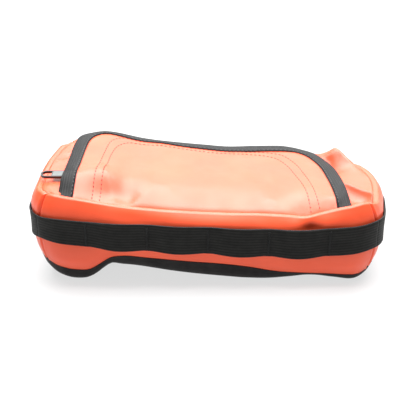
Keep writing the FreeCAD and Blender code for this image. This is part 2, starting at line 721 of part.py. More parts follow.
at_slider = slider_frame()
for part in (slider_body(), slider_bail(), puller_link()):
    part.Placement = at_slider
    nodes.append(part)

hinge = Vector(link_ends()[1], size("bail_span") / 2, size("link_height"))
at_hinge = at_slider.multiply(Placement(hinge, Rotation(Vector(0, 1, 0), -size("tab_droop"))))
for part in (puller_frame(), puller_insert()):
    part.Placement = at_hinge
    nodes.append(part)

doc.recompute()
for thing in doc.Objects:
    if "Invalid" in thing.State or "Error" in thing.State:
        raise RuntimeError("%s did not recompute: %s" % (thing.Name, thing.State))

os.makedirs("parts", exist_ok=True)
for node in nodes:
    node.Label = node.Name
    shape = node.Shape
    if shape.isNull() or not shape.isValid() or not shape.Solids:
        raise RuntimeError(node.Label + " has no valid solid")
    print("%-20s %2d solid(s) %9.1f mm3" % (node.Label, len(shape.Solids), shape.Volume))
    shape.exportStep("parts/%s.step" % node.Label)

for name, place in (("slider", at_slider), ("tab hinge", at_hinge)):
    print(name, "at", place.Base)
    for axis, way in (("X", Vector(1, 0, 0)), ("Y", Vector(0, 1, 0)), ("Z", Vector(0, 0, 1))):
        print("   its %s runs along" % axis, place.Rotation.multVec(way))
print("bail leg at", at_slider.multVec(Vector(0, size("bail_span") / 2, size("link_height"))))
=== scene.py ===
"""A zip pouch of orange coated tarpaulin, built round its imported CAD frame.

Lengths in this script are millimetres until a mesh is made.  The soft panels are sheets: each is a grid of
points from a few named curves, thickened into a closed skin.  X runs along the pouch and -Y is its front.
"""
import math

import bpy
import numpy as np
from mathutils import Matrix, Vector


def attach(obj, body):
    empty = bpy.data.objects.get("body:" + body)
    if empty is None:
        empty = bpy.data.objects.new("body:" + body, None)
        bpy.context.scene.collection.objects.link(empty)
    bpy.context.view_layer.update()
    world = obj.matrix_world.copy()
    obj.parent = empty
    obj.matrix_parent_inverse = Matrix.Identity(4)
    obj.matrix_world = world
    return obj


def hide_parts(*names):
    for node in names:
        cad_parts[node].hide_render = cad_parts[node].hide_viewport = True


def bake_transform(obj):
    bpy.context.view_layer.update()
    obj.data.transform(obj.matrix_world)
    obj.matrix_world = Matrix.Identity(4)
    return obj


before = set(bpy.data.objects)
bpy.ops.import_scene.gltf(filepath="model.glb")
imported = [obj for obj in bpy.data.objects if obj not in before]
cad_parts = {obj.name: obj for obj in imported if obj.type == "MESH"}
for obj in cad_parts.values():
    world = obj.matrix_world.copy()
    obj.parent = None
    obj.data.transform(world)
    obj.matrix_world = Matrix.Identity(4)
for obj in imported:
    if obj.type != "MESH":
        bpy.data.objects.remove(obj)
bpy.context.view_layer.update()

MM = 0.001
FABRIC = 1.1            # thickness of the tarpaulin
HALF_LENGTH, HALF_DEPTH, CORNER = 140.0, 70.0, 30.0
SIDES = [(HALF_LENGTH, HALF_DEPTH), (HALF_DEPTH, HALF_LENGTH)] * 2     # each side: half run, distance out
RING = 4 * (HALF_LENGTH + HALF_DEPTH)


# ------------------------------------------------------------------ curves and height fields

def hermite(points):
    """A smooth function through (x, value) points, without overshoot at the ends."""
    xs, ys = np.array(points, float).T
    slopes = np.gradient(ys, xs)

    def at(x):
        x = np.clip(np.asarray(x, float), xs[0], xs[-1])
        i = np.clip(np.searchsorted(xs, x) - 1, 0, len(xs) - 2)
        step = xs[i + 1] - xs[i]
        f = (x - xs[i]) / step
        return ((1 + 2 * f) * (1 - f) ** 2 * ys[i] + f * (1 - f) ** 2 * step * slopes[i]
                + f * f * (3 - 2 * f) * ys[i + 1] + f * f * (f - 1) * step * slopes[i + 1])
    return at


def round_ring(front, right, back, left):
    """A periodic function of the place round the pouch, from (x or y, value) points on each side."""
    points = [(HALF_LENGTH + x, v) for x, v in front]
    points += [(2 * HALF_LENGTH + HALF_DEPTH + y, v) for y, v in right]
    points += [(3 * HALF_LENGTH + 2 * HALF_DEPTH - x, v) for x, v in back]
    points += [(4 * HALF_LENGTH + 3 * HALF_DEPTH - y, v) for y, v in left]
    points.sort()
    points = ([(s - RING, v) for s, v in points[-3:]] + points + [(s + RING, v) for s, v in points[:3]])
    curve = hermite(points)
    return lambda s: curve(np.mod(s, RING))


def thin_plate(points, stiffness=0.0):
    """The smoothest height field through (x, y, z) points."""
    p = np.array(points, float)
    n = len(p)

    def kernel(ax, ay, bx, by):
        d = np.hypot(np.subtract.outer(ax, bx), np.subtract.outer(ay, by)) / 50.0
        return d ** 2 * np.log(d + 1e-9)
    corner = np.c_[np.ones(n), p[:, 0], p[:, 1]]
    system = np.zeros((n + 3, n + 3))
    system[:n, :n] = kernel(p[:, 0], p[:, 1], p[:, 0], p[:, 1]) + stiffness * np.eye(n)
    system[:n, n:], system[n:, :n] = corner, corner.T
    weights = np.linalg.solve(system, np.r_[p[:, 2], 0, 0, 0])

    def at(x, y):
        x, y = np.broadcast_arrays(np.asarray(x, float), np.asarray(y, float))
        flat = kernel(x.ravel(), y.ravel(), p[:, 0], p[:, 1]) @ weights[:n]
        return flat.reshape(x.shape) + weights[n] + weights[n + 1] * x + weights[n + 2] * y
    return at


def bump(x, y, at, size, turn=0.0):
    """A round hill of height 1 at a place, stretched by two sizes and turned by degrees."""
    c, s = math.cos(math.radians(turn)), math.sin(math.radians(turn))
    u = (x - at[0]) * c + (y - at[1]) * s
    v = (y - at[1]) * c - (x - at[0]) * s
    return np.exp(-(u / size[0]) ** 2 - (v / size[1]) ** 2)


def crease(x, y, start, end, width):
    """A fold that is sharp along its line and fades at its ends: height 1 on the line."""
    (x0, y0), (x1, y1) = start, end
    length = math.hypot(x1 - x0, y1 - y0)
    ux, uy = (x1 - x0) / length, (y1 - y0) / length
    along = ((x - x0) * ux + (y - y0) * uy) / length
    off = np.abs((y - y0) * ux - (x - x0) * uy)
    fade = np.clip(along * 5, 0, 1) * np.clip((1 - along) * 5, 0, 1)
    return fade * (3 - 2 * fade) * fade * np.exp(-off / width)


def ripple(a, b, scale, seed):
    """Small irregular waves, always the same for a seed."""
    rng = np.random.default_rng(seed)
    total = 0.0
    for _ in range(7):
        angle, phase = rng.uniform(0, 2 * math.pi, 2)
        wave = scale * rng.uniform(0.7, 1.6)
        total = total + np.sin((a * math.cos(angle) + b * math.sin(angle)) * 2 * math.pi / wave + phase)
    return total / 7


# ------------------------------------------------------------------ the pouch's own curves

# S: the surface that the CAD lid was cut from
STATION_X = [-145, -110, -80, -45, 0, 45, 80, 110, 145]
S_FRONT = hermite(list(zip(STATION_X, [76.5, 77.0, 73.0, 69.0, 66.0, 63.8, 62.5, 63.0, 64.0])))
S_BACK = hermite(list(zip(STATION_X, [84.0, 87.5, 85.0, 79.0, 73.2, 72.0, 71.5, 68.0, 63.0])))


def cad_surface(x, y):
    return S_FRONT(x) + (S_BACK(x) - S_FRONT(x)) * (y + 66.0) / 122.0


FRONT_SEAM = [(-140, 73.2), (-132, 73.8), (-116, 73.4), (-101, 71.2), (-86, 68.4), (-69, 65.4), (-44, 62.5),
              (-16, 60.4), (13, 59), (42, 58.4), (66, 56.8), (75, 56), (88, 59.4), (100, 62.6), (111, 64.8),
              (130, 66.6), (138, 65.8)]
TOP_SEAM = round_ring(
    front=FRONT_SEAM,
    right=[(-60, 63.5), (-45, 60.5), (-20, 60), (5, 61.5), (25, 61), (45, 59), (62, 58)],
    back=[(130, 57), (112, 60), (80, 65.5), (45, 67), (0, 68.5), (-45, 74), (-80, 79), (-110, 80),
          (-130, 78.5)],
    left=[(60, 77), (43, 77.8), (20, 77.6), (9, 77.2), (0, 76.2), (-8, 74.4), (-15, 72.8), (-22, 72.2),
          (-32, 72.2), (-48, 73), (-60, 73.6)])
BASE_SEAM = round_ring(
    front=[(-136, 18), (-130, 16.5), (-116, 14.5), (-103, 12.6), (-94, 13), (-86, 17.5), (-78, 23), (-66, 25),
           (-50, 23.5), (-36, 22), (-16, 20), (13, 17.6), (33, 15), (53, 11.3), (78, 9.5), (93, 9), (112, 8),
           (128, 8.2), (138, 10.5)],
    right=[(-50, 13), (-10, 14), (50, 13)],
    back=[(110, 12), (40, 14), (-40, 15), (-110, 13)],
    left=[(50, 15), (0, 17), (-45, 18)])
# how far the wall stands out from the belly's outline, from its base seam (0) to its top seam (1)
WALL_OUT = hermite([(0, -4.6), (0.12, -2.4), (0.3, -0.6), (0.48, -0.2), (0.62, -0.4), (0.74, -1.3),
                    (0.85, -3.2), (0.93, -5.4), (1, -8.0)])


def ring(s):
    """The belly's outline in plan: x, y and the outward direction at a place round the pouch."""
    s = np.mod(np.asarray(s, float), RING)
    edges = np.cumsum([0] + [2 * half for half, _ in SIDES])
    side = np.clip(np.searchsorted(edges, s, side="right") - 1, 0, 3)
    half = np.array([h for h, _ in SIDES])[side]
    out = np.array([o for _, o in SIDES])[side]
    c = s - edges[side] - half
    past = np.clip(np.abs(c) - (half - CORNER), 0, None)
    angle = np.sign(c) * past / CORNER * math.pi / 4
    x = np.where(past > 0, np.sign(c) * (half - CORNER) + CORNER * np.sin(angle), c)
    y = -(out - CORNER) - CORNER * np.cos(angle)
    nx, ny = np.sin(angle), -np.cos(angle)
    turn = side * math.pi / 2
    cos, sin = np.cos(turn), np.sin(turn)
    return x * cos - y * sin, x * sin + y * cos, nx * cos - ny * sin, nx * sin + ny * cos


# hills and hollows of the walls: height, place (x along the front, z), sizes, turn
WALL_DENTS = [
    (-4.2, (79, 49), (7, 9), 20), (2.0, (69, 55), (7, 5), -20), (2.2, (93, 58), (12, 6), 15),
    (2.0, (15, 57), (60, 8), -3), (-3.0, (-72, 26), (9, 14), 0), (2.5, (-104, 26), (20, 14), 0),
    (-1.2, (-60, 60), (18, 5), -8), (1.6, (110, 22), (24, 10), 0)]
# the right and left ends bulge out at their tops, and the back corners are drawn in: height, place, spread
SWELLS = [(10.5, 2 * HALF_LENGTH + HALF_DEPTH + 2, 46), (5.0, 4 * HALF_LENGTH + 3 * HALF_DEPTH + 22, 38),
          (-4.0, 2 * HALF_LENGTH + 2 * HALF_DEPTH, 32), (-5.0, 4 * HALF_LENGTH + 2 * HALF_DEPTH, 32)]


def wall_dents(s, z):
    """How far the wall stands out from its plain shape: folds by the seams and under the webbing."""
    out = 0.5 * ripple(s, z * 1.6, 46, 3)
    for height, at, size, turn in WALL_DENTS:
        out = out + height * bump(s - HALF_LENGTH, z, at, size, turn)
    return out


def swell(s, v):
    up = np.clip((v - 0.6) / 0.3, 0, 1)
    up = up * up * (3 - 2 * up)
    return up * sum(height * np.exp(-((s - place) / spread) ** 2) for height, place, spread in SWELLS)


def wall_point(s, v, lip=0.0, drop=0.0):
    """A place on the walls: v runs from the base seam to the top seam, lip and drop then roll it inwards."""
    low, high = BASE_SEAM(s), TOP_SEAM(s)
    z = low + (high - low) * v
    x, y, nx, ny = ring(s)
    fade = np.clip(v * 6, 0, 1) * np.clip((1 - v) * 6, 0, 1)
    out = WALL_OUT(v) + wall_dents(s, z) * fade + swell(s, v) - lip
    return np.stack([x + nx * out, y + ny * out, z - drop + 0 * out], -1)


# ------------------------------------------------------------------ meshes

def link(name, vertices, faces, material, uvs=None, smooth=True):
    mesh = bpy.data.meshes.new(name)
    mesh.from_pydata([tuple(v) for v in np.asarray(vertices) * MM], [], faces)
    if uvs is not None:
        layer = mesh.uv_layers.new(name="UVMap")
        loops = np.empty(len(mesh.loops), int)
        mesh.loops.foreach_get("vertex_index", loops)
        layer.data.foreach_set("uv", (np.asarray(uvs) * MM)[loops].ravel())
    mesh.polygons.foreach_set("use_smooth", [smooth] * len(mesh.polygons))
    mesh.materials.append(material)
    mesh.update()
    piece = bpy.data.objects.new(name, mesh)
    bpy.context.scene.collection.objects.link(piece)
    return piece


def grid_normals(p, wrap=False):
    du = np.roll(p, -1, 0) - np.roll(p, 1, 0) if wrap else np.gradient(p, axis=0)
    dv = np.gradient(p, axis=1)
    n = np.cross(du, dv)
    return n / (np.linalg.norm(n, axis=-1, keepdims=True) + 1e-12)


def grid_faces(nu, nv, wrap=False, start=0, flip=False):
    faces = []
    for i in range(nu if wrap else nu - 1):
        for j in range(nv - 1):
            a, b = i * nv + j, (i + 1) % nu * nv + j
            quad = (a, b, b + 1, a + 1)
            faces.append(tuple(start + k for k in (quad[::-1] if flip else quad)))
    return faces


def grid_uv(p):
    """Lengths along both directions of a grid, in millimetres."""
    along = np.linalg.norm(np.diff(p, axis=0), axis=-1).mean(1)
    across = np.linalg.norm(np.diff(p, axis=1), axis=-1)
    u = np.r_[0, np.cumsum(along)]
    v = np.c_[np.zeros(len(p)), np.cumsum(across, 1)]
    return np.stack([np.broadcast_to(u[:, None], v.shape), v], -1)


def sheet(name, p, material, thickness=FABRIC, wrap=False, outward=1, cap=False):
    """A closed skin: the grid is its outer side, and its inner side lies a thickness behind."""
    nu, nv = p.shape[:2]
    back = p - outward * thickness * grid_normals(p, wrap)
    n = nu * nv
    flip = outward < 0
    faces = grid_faces(nu, nv, wrap, 0, flip) + grid_faces(nu, nv, wrap, n, not flip)
    rim = [i * nv for i in range(nu)], [i * nv + nv - 1 for i in range(nu)]
    if cap:
        faces += [tuple(rim[1]), tuple(k + n for k in rim[1][::-1])]
        if flip:
            faces[-2:] = [face[::-1] for face in faces[-2:]]
    for edge, turned in ((rim[0], flip), (rim[1], not flip))[:1 if cap else 2]:
        for a, b in zip(edge, edge[1:] + edge[:1] if wrap else edge[1:]):
            quad = (a, a + n, b + n, b)
            faces.append(quad[::-1] if turned else quad)
    if not wrap:
        for row, turned in ((0, not flip), (nu - 1, flip)):
            edge = [row * nv + j for j in range(nv)]
            for a, b in zip(edge, edge[1:]):
                quad = (a, a + n, b + n, b)
                faces.append(quad[::-1] if turned else quad)
    uv = grid_uv(p).reshape(-1, 2)
    return link(name, np.r_[p.reshape(-1, 3), back.reshape(-1, 3)], faces, material, np.r_[uv, uv])


def sweep(name, path, frames, profile, material):
    """A closed profile of (a, b) points carried along a path whose frames give the two directions."""
    first, second = frames
    outline = np.array(profile, float)
    p = path[:, None] + outline[None, :, :1] * first[:, None] + outline[None, :, 1:] * second[:, None]
    nu, nv = p.shape[:2]
    faces = []
    for i in range(nu - 1):
        for j in range(nv):
            faces.append((i * nv + j, (i + 1) * nv + j, (i + 1) * nv + (j + 1) % nv, i * nv + (j + 1) % nv))
    faces += [tuple(range(nv)), tuple(range((nu - 1) * nv, nu * nv))[::-1]]
    along = np.r_[0, np.cumsum(np.linalg.norm(np.diff(path, axis=0), axis=-1))]
    around = np.r_[0, np.cumsum(np.linalg.norm(np.diff(outline, axis=0), axis=-1))]
    uv = np.stack(np.broadcast_arrays(along[:, None], around[None, :]), -1)
    return link(name, p.reshape(-1, 3), faces, material, uv.reshape(-1, 2))


# a stitch from end to end: place along it, thickness, and how far it rises, as parts of its length and radius
SPINDLE = [(0, 0.35, -0.3), (0.2, 0.9, 0.2), (0.5, 1.0, 0.35), (0.8, 0.9, 0.2), (1, 0.35, -0.3)]


def stitches(name, path, up, material, length=2.6, gap=1.2, radius=0.38, sink=0.05):
    """A row of thread: one small spindle for each stitch, lying on a path of points."""
    steps = np.linalg.norm(np.diff(path, axis=0), axis=-1)
    along = np.r_[0, np.cumsum(steps)]
    vertices, faces, sides = [], [], 6
    for start in np.arange(gap, along[-1] - length, length + gap):
        places = [start + length * place for place, _, _ in SPINDLE]
        centre = np.stack([np.interp(places, along, path[:, k]) for k in range(3)], -1)
        normal = np.array([np.interp(start, along, up[:, k]) for k in range(3)])
        way = centre[-1] - centre[0]
        way /= np.linalg.norm(way)
        side = np.cross(way, normal)
        side /= np.linalg.norm(side)
        normal = np.cross(side, way)
        base = len(vertices)
        for c, (_, size, lift) in zip(centre, SPINDLE):
            for k in range(sides):
                a = 2 * math.pi * k / sides
                vertices.append(c + normal * (lift * radius * 2 - sink) + radius * size
                                * (math.cos(a) * side + 0.8 * math.sin(a) * normal))
        last = len(SPINDLE) - 1
        for ring_no in range(last):
            for k in range(sides):
                a, b = base + ring_no * sides + k, base + ring_no * sides + (k + 1) % sides
                faces.append((a, b, b + sides, a + sides))
        faces += [tuple(range(base, base + sides))[::-1],
                  tuple(range(base + last * sides, base + (last + 1) * sides))]
    return link(name, vertices, faces, material)


# ------------------------------------------------------------------ materials

def material(name, color, rough, specular=0.5):
    made = bpy.data.materials.new(name)
    made.use_nodes = True
    shader = made.node_tree.nodes["Principled BSDF"]
    shader.inputs["Base Color"].default_value = (*color, 1)
    shader.inputs["Roughness"].default_value = rough
    shader.inputs["Specular IOR Level"].default_value = specular
    return made, made.node_tree, shader


def node(tree, kind, **values):
    made = tree.nodes.new(kind)
    for key, value in values.items():
        if key in made.inputs:
            made.inputs[key].default_value = value
        else:
            setattr(made, key, value)
    return made


def coordinates(tree, source="Object"):
    return tree.nodes.new("ShaderNodeTexCoord").outputs[source]


def noise(tree, vector, scale, detail=3.0, rough=0.5):
    made = node(tree, "ShaderNodeTexNoise", Scale=scale, Detail=detail, Roughness=rough)
    tree.links.new(vector, made.inputs["Vector"])
    return made.outputs["Fac"]


def wave(tree, vector, scale, direction, distortion=0.0):
    made = node(tree, "ShaderNodeTexWave", Scale=scale, Distortion=distortion, bands_direction=direction)
    tree.links.new(vector, made.inputs["Vector"])
    return made.outputs["Fac"]


def math_node(tree, operation, a, b):
    made = node(tree, "ShaderNodeMath", operation=operation)
    for socket, value in zip(made.inputs, (a, b)):
        if isinstance(value, (int, float)):
            socket.default_value = value
        else:
            tree.links.new(value, socket)
    return made.outputs[0]


def ramp(tree, value, stops):
    made = tree.nodes.new("ShaderNodeValToRGB")
    elements = made.color_ramp.elements
    while len(elements) < len(stops):
        elements.new(0.5)
    for element, (place, color) in zip(elements, stops):
        element.position = place
        element.color = (*color, 1)
    tree.links.new(value, made.inputs["Fac"])
    return made.outputs["Color"]


def raise_bumps(tree, shader, layers):
    """Chains bump nodes: each layer is a height, its strength and its depth in metres."""
    last = None
    for height, strength, depth in layers:
        made = node(tree, "ShaderNodeBump", Strength=strength, Distance=depth)
        tree.links.new(height, made.inputs["Height"])
        if last:
            tree.links.new(last, made.inputs["Normal"])
        last = made.outputs["Normal"]
    tree.links.new(last, shader.inputs["Normal"])


def shade(value):
    return (value, value, value)


def tarpaulin():
    made, tree, shader = material("orange_tarpaulin", (0.86, 0.09, 0.028), 0.42, 0.5)
    where = coordinates(tree)
    broad = noise(tree, where, 22, 4)
    color = ramp(tree, broad, [(0.3, (0.82, 0.082, 0.024)), (0.7, (0.92, 0.102, 0.032))])
    tree.links.new(color, shader.inputs["Base Color"])
    rough = ramp(tree, noise(tree, where, 60, 5), [(0.3, shade(0.36)), (0.7, shade(0.47))])
    tree.links.new(rough, shader.inputs["Roughness"])
    grain = noise(tree, where, 2600, 2)
    weave = math_node(tree, "ADD", wave(tree, where, 260, "X"), wave(tree, where, 260, "Z"))
    raise_bumps(tree, shader, [(weave, 0.035, 0.0003), (grain, 0.10, 0.0002),
                               (noise(tree, where, 90, 3), 0.12, 0.001)])
    shader.inputs["Sheen Weight"].default_value = 0.04
    shader.inputs["Sheen Roughness"].default_value = 0.4
    return made


def cloth(name, dark, light, rough, ribs, twill, sheen, gloss):
    """A woven black tape: ribs across it and a finer twill, by lengths along and across the piece."""
    made, tree, shader = material(name, dark, rough, gloss)
    where = coordinates(tree, "UV")
    across = wave(tree, where, ribs, "Y", 0.3)
    fine = wave(tree, where, twill, "DIAGONAL", 0.5)
    worn = noise(tree, coordinates(tree), 160, 5, 0.6)
    mixed = math_node(tree, "MULTIPLY", math_node(tree, "ADD", across, fine), worn)
    tree.links.new(ramp(tree, mixed, [(0.25, dark), (0.95, light)]), shader.inputs["Base Color"])
    raise_bumps(tree, shader, [(across, 0.35, 0.0004), (fine, 0.3, 0.0002), (worn, 0.15, 0.0005)])
    shader.inputs["Sheen Weight"].default_value = sheen
    shader.inputs["Sheen Roughness"].default_value = 0.5
    return made


def nylon():
    made, tree, shader = material("base_cloth", (0.012, 0.011, 0.011), 0.6, 0.15)
    where = coordinates(tree)
    grid = math_node(tree, "MULTIPLY", wave(tree, where, 380, "X"), wave(tree, where, 380, "Y"))
    scuffs = noise(tree, where, 70, 6, 0.65)
    tree.links.new(ramp(tree, scuffs, [(0.4, (0.009, 0.008, 0.008)), (0.75, (0.024, 0.022, 0.021))]),
                   shader.inputs["Base Color"])
    raise_bumps(tree, shader, [(grid, 0.25, 0.0003), (scuffs, 0.2, 0.001)])
    shader.inputs["Sheen Weight"].default_value = 0.03
    return made


def plain(name, dark, light, rough, metallic=0.0, scale=300, depth=0.15):
    made, tree, shader = material(name, dark, rough)
    where = coordinates(tree)
    grain = noise(tree, where, scale, 5, 0.6)
    tree.links.new(ramp(tree, grain, [(0.3, dark), (0.75, light)]), shader.inputs["Base Color"])
    tree.links.new(ramp(tree, grain, [(0.3, shade(rough * 0.8)), (0.7, shade(min(1, rough * 1.25)))]),
                   shader.inputs["Roughness"])
    shader.inputs["Metallic"].default_value = metallic
    raise_bumps(tree, shader, [(grain, depth, 0.0002)])
    return made


ORANGE = tarpaulin()
BINDING = cloth("binding_twill", (0.0030, 0.0030, 0.0031), (0.015, 0.015, 0.0155), 0.55, 160, 900, 0.02, 0.2)
WEBBING = cloth("ribbed_webbing", (0.007, 0.007, 0.0065), (0.022, 0.022, 0.02), 0.62, 140, 700, 0.02, 0.15)
TAPE = cloth("zip_tape_weave", (0.014, 0.014, 0.014), (0.03, 0.03, 0.03), 0.7, 300, 800, 0.03, 0.15)
BASE = nylon()
# the lid's thread is a darker red-orange than the cloth: partly the thread's own colour, partly painted shade
# of the sunk stitch line, which is not modelled
THREAD_ORANGE_PAINTED_SHADE = plain("thread_orange_painted_shade", (0.17, 0.012, 0.005), (0.30, 0.025, 0.009), 0.5)
THREAD_GREY = plain("thread_grey", (0.03, 0.03, 0.032), (0.09, 0.09, 0.095), 0.45)
THREAD_BLACK = plain("thread_black", (0.005, 0.005, 0.005), (0.012, 0.012, 0.012), 0.6)
ENAMEL = plain("black_enamel", (0.012, 0.012, 0.013), (0.03, 0.03, 0.032), 0.3, 0.6)
RUBBER = plain("puller_rubber", (0.012, 0.013, 0.014), (0.028, 0.03, 0.031), 0.38)
PLATE = plain("puller_plate", (0.10, 0.11, 0.108), (0.16, 0.17, 0.168), 0.34, 0.4, 900)
NYLON_COIL = plain("nylon_coil", (0.015, 0.015, 0.015), (0.035, 0.035, 0.035), 0.4)


# ------------------------------------------------------------------ walls and base

# the roll of the top edge: how far in, and how far down
LIP = [(1.6, -0.6), (3.0, -0.7), (4.0, -0.1), (4.6, 0.9), (4.9, 2.4), (5.0, 4.2)]
SEAM_TUCK, SEAM_TUCK_WIDTH = 1.9, 1.1                   # a corner seam draws the cloth in
SEAM_PUFF, SEAM_PUFF_PLACE, SEAM_PUFF_WIDTH = 0.5, 3.2, 1.6       # and the cloth beside it stands up


def groove_depth(s):
    """The seam behind the front wall is deep; the others are only a crease."""
    past = np.minimum(np.clip(s - 2 * HALF_LENGTH, 0, None), np.clip(RING - s, 0, None))
    return 0.3 + 0.7 * np.exp(-(past / 12) ** 2)


def seam_columns(start, end, step=3.0):
    """Places along a panel, close together at its two seams."""
    near = [0, 0.5, 1.1, 1.9, 3.0]
    middle = np.linspace(start + 5, end - 5, int((end - start - 10) / step) + 1)
    return np.r_[[start + d for d in near], middle, [end - d for d in near[::-1]]]


def wall_panel(name, start, end):
    s = seam_columns(start, end)
    v = np.r_[np.linspace(0, 0.9, 26), 0.93, 0.955, 0.975, 0.99, 1.0]
    rows = [wall_point(s, np.full_like(s, value)) for value in v]
    rows += [wall_point(s, np.ones_like(s), lip, drop * groove_depth(s)) for lip, drop in LIP]
    p = np.stack(rows, 1)
    distance = np.minimum(s - start, end - s)
    tuck = (SEAM_TUCK * np.exp(-(distance / SEAM_TUCK_WIDTH) ** 2)
            - SEAM_PUFF * np.exp(-((distance - SEAM_PUFF_PLACE) / SEAM_PUFF_WIDTH) ** 2))
    _, _, nx, ny = ring(s)
    p[..., 0] -= (nx * tuck)[:, None]
    p[..., 1] -= (ny * tuck)[:, None]
    return sheet(name, p, ORANGE)


CORNERS = [0, 2 * HALF_LENGTH, 2 * HALF_LENGTH + 2 * HALF_DEPTH, 4 * HALF_LENGTH + 2 * HALF_DEPTH, RING]
WALLS = ("front_wall", "right_end_panel", "back_wall", "left_end_panel")
for name, start, end in zip(WALLS, CORNERS, CORNERS[1:]):
    piece = wall_panel(name + "_skin", start, end)
    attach(piece, "bag")
    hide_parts(name)

# how far the base stands off the ground along its front edge, and how that fades towards the back
FRONT_LIFT = hermite([(-140, 9), (-130, 7), (-118, 3.2), (-105, 0.2), (-96, 1.2), (-88, 6), (-79, 14),
                      (-68, 13), (-59, 12), (-27, 6.3), (14, 1.5), (30, 0.1), (46, 0.1), (66, 2.5),
                      (81, 4.6), (100, 2.2), (119, 0.1), (130, 2.4), (140, 5)])
# the base's side from its seam to the ground: how far out, and how much of the seam's height is left
BASE_TURN = [(-4.4, 1.0), (-4.9, 0.93), (-5.4, 0.72), (-6.6, 0.42), (-8.8, 0.16), (-12.0, 0.03)]
BASE_RINGS = (0.86, 0.7, 0.5, 0.3, 0.12)                # the flat underside, as parts of its outline


def floor_lift(x, y):
    fade = np.exp(-(np.clip(y + 58, 0, None) / 34) ** 2)
    return 0.15 + FRONT_LIFT(x) * fade + 0.35 * (1 + ripple(x, y, 60, 5))


def base_skin():
    s = np.linspace(0, RING, 280, endpoint=False)
    x0, y0, nx, ny = ring(s)
    rows = []
    for out, rise in BASE_TURN:
        x, y = x0 + nx * out, y0 + ny * out
        lift = floor_lift(x, y)
        rows.append(np.stack([x, y, lift + (BASE_SEAM(s) - lift) * rise], -1))
    for part in BASE_RINGS:
        inner_x, inner_y = x * part, y * part
        rows.append(np.stack([inner_x, inner_y, floor_lift(inner_x, inner_y)], -1))
    return sheet("base_skin", np.stack(rows, 1), BASE, 1.0, True, -1, True)


piece = base_skin()
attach(piece, "bag")
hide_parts("base_panel")

# ------------------------------------------------------------------ lid

LEFT_EDGE = [(-116.5, -58.5), (-116, -45), (-115.5, -20), (-115, 5), (-114.6, 22), (-111.6, 39), (-104.5, 50),
             (-93, 55.5)]
RIGHT_EDGE = [(112.5, -58.5), (111.5, -42), (110.5, -18), (108, 8), (104.5, 24), (99, 37), (91.5, 47),
              (80, 53.3), (64, 56)]

lid_height = thin_plate(
    # behind the front seam
    [(x, -59, z - 1.4) for x, z in FRONT_SEAM[2:15]]
    + [(x, -49, z + 3.4) for x, z in FRONT_SEAM[3:14]]
    # along the left edge, and beside its binding
    + [(-116, -62, 77.6), (-115.5, -40, 79.4), (-115.5, -27, 80.4), (-115, 0, 83), (-113, 22, 86),
       (-109, 40, 87.6)]
    + [(-104, -36, 80.4), (-103.5, -5, 84), (-100, 22, 87), (-97, 42, 88)]
    # before the back binding, and on it
    + [(-92, 47, 88.2), (-79, 46, 85.6), (-41, 47, 78.8), (-7, 48, 73.4), (15, 46, 70.9), (38, 46, 70.7),
       (61, 44, 71), (79, 40, 71.2), (94, 34, 69.6)]
    + [(-104, 52, 85.5), (-90, 57, 84.8), (-60, 57, 79.5), (-41, 57, 76.4), (0, 57, 72.8), (38, 57, 72),
       (66, 56, 71.8), (84, 50, 69.8)]
    # beside the right binding, and on it
    + [(101, -62, 66.5), (100, -42, 67.4), (97, -12, 68.2), (92, 12, 69.8)]
    + [(112, -62, 67.8), (110.5, -25, 68.2), (106.5, 10, 68.8), (100, 30, 68.4)]
    # the middle lies on the CAD lid
    + [(x, y, float(cad_surface(x, y)) + 1.2) for x in (-70, -35, 0, 35, 70) for y in (-28, 0, 25)], 0.002)

# hills and hollows of the lid: height, place, sizes, turn
LID_DENTS = [
    (-3.4, (-64, -38), (9, 30), 4), (-2.0, (-56, 14), (13, 22), 0), (-1.0, (10, 10), (26, 18), 10),
    (-2.2, (52, -12), (12, 34), 14), (-2.4, (74, -58), (9, 9), 0), (0.8, (85, -20), (9, 26), 0),
    (-3.6, (-78, -47), (18, 9), 6), (2.4, (-86, -28), (24, 10), 0)]
# puckers that fan out from the front seam: height, start, end, width
LID_CREASES = [
    (1.6, (-69, -66), (-88, -10), 6), (1.4, (-68, -66), (-34, -26), 9), (1.0, (74, -66), (98, -40), 6),
    (1.0, (72, -66), (44, -38), 7)]


def lid_surface(x, y):
    """The lid's upper side: the smooth field, its dents, and the puckers by the front seam."""
    z = lid_height(x, y)
    for height, at, size, turn in LID_DENTS:
        z = z + height * bump(x, y, at, size, turn)
    for height, start, end, width in LID_CREASES:
        z = z + height * crease(x, y, start, end, width)
    return z + 0.35 * ripple(x, y, 48, 11)


def front_tuck(y):
    """How far the lid's front edge is drawn down behind the front wall's rolled edge."""
    return 2.4 * np.clip((-53.5 - y) / 5.0, 0, 1) ** 2


def smooth_path(points, count):
    """Points on a smooth line through a few places in plan, evenly spread."""
    p = np.array(points, float)
    knots = np.r_[0, np.cumsum(np.linalg.norm(np.diff(p, axis=0), axis=-1))]
    xs, ys = (hermite(np.c_[knots, p[:, k]]) for k in range(2))
    t = np.linspace(0, knots[-1], count)
    return np.c_[xs(t), ys(t)]


def lid_plan(across, back, inset):
    """A grid in plan over the lid, a little inside its edge: left to right, and front to back."""
    left, right = smooth_path(LEFT_EDGE, back), smooth_path(RIGHT_EDGE, back)
    f = np.linspace(0, 1, across)[:, None, None]
    p = left[None] * (1 - f) + right[None] * f
    p[..., 0] *= 1 - inset / 110.0
    p[..., 1] -= inset * np.clip((p[..., 1] + 40) / 95, 0, 1)
    return p


